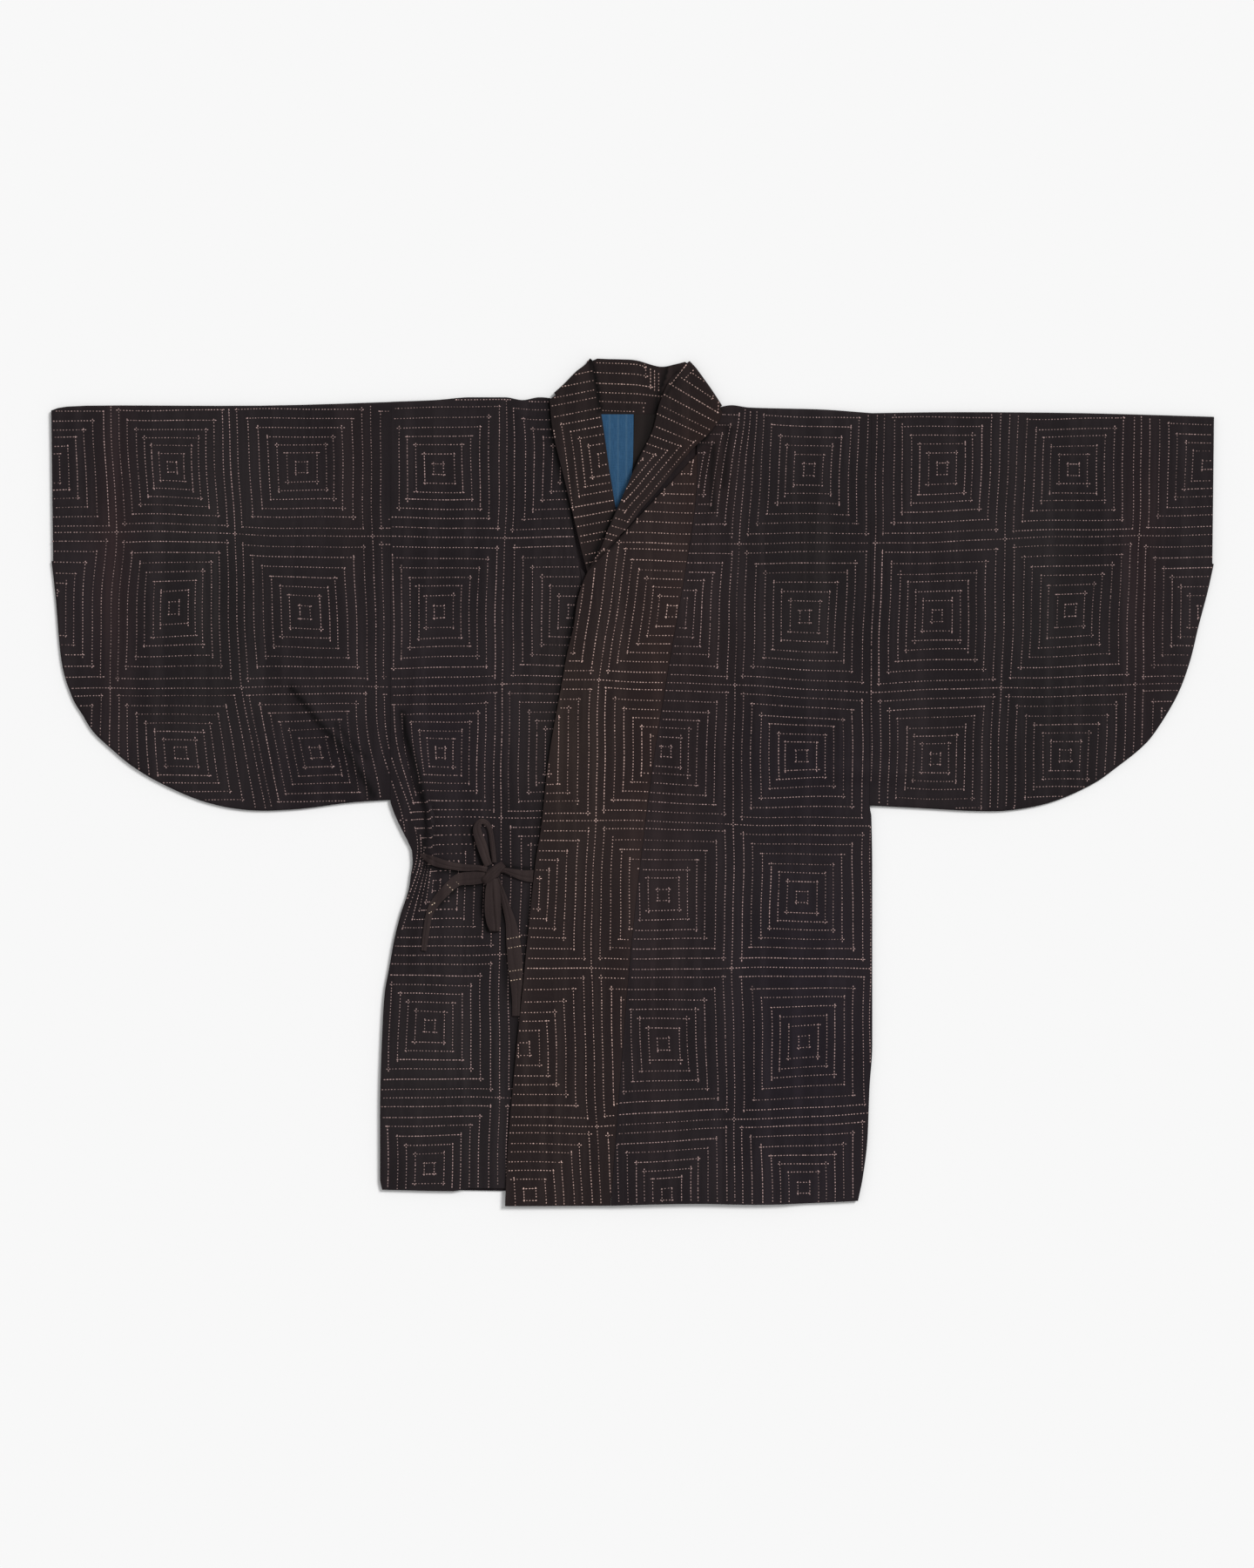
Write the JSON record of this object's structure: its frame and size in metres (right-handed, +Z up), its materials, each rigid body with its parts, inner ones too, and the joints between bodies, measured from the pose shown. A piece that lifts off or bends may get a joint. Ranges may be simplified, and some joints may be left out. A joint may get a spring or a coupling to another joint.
{
  "type": "sashiko work jacket",
  "caption": "Sashiko-stitched cotton work jacket with wide rounded sleeves and a band collar, laid flat and tied at the side.",
  "frame": {"origin": "middle of the bounding box on the underside, where the jacket rests", "axes": "+X towards the wearer's left cuff, +Y towards the collar, +Z up off the surface"},
  "size_m": [1.2474, 0.9096, 0.0119],
  "materials": {
    "indigo_black_cotton": "matt woven cotton with running stitch in nested squares",
    "brown_cotton": "matt woven cotton with running stitch in nested squares",
    "blue_lining": "plain woven cotton, faintly striped",
    "dark_brown_lining": "plain woven cotton",
    "tie_cotton": "plain woven cotton strip"
  },
  "bodies": {
    "root": {"body_right": "indigo_black_cotton", "body_left": "indigo_black_cotton", "okumi_right": "indigo_black_cotton", "okumi_left": "brown_cotton", "sleeve_right": "indigo_black_cotton", "sleeve_left": "indigo_black_cotton", "collar": "brown_cotton", "lining_blue": "blue_lining", "lining_brown": "dark_brown_lining", "tie_anchor_side": "tie_cotton", "tie_anchor_front": "tie_cotton", "tie_knot": "tie_cotton", "tie_loop_up": "tie_cotton", "tie_loop_down": "tie_cotton", "tie_tail_left": "tie_cotton", "tie_tail_right": "tie_cotton"}
  },
  "joints": []
}
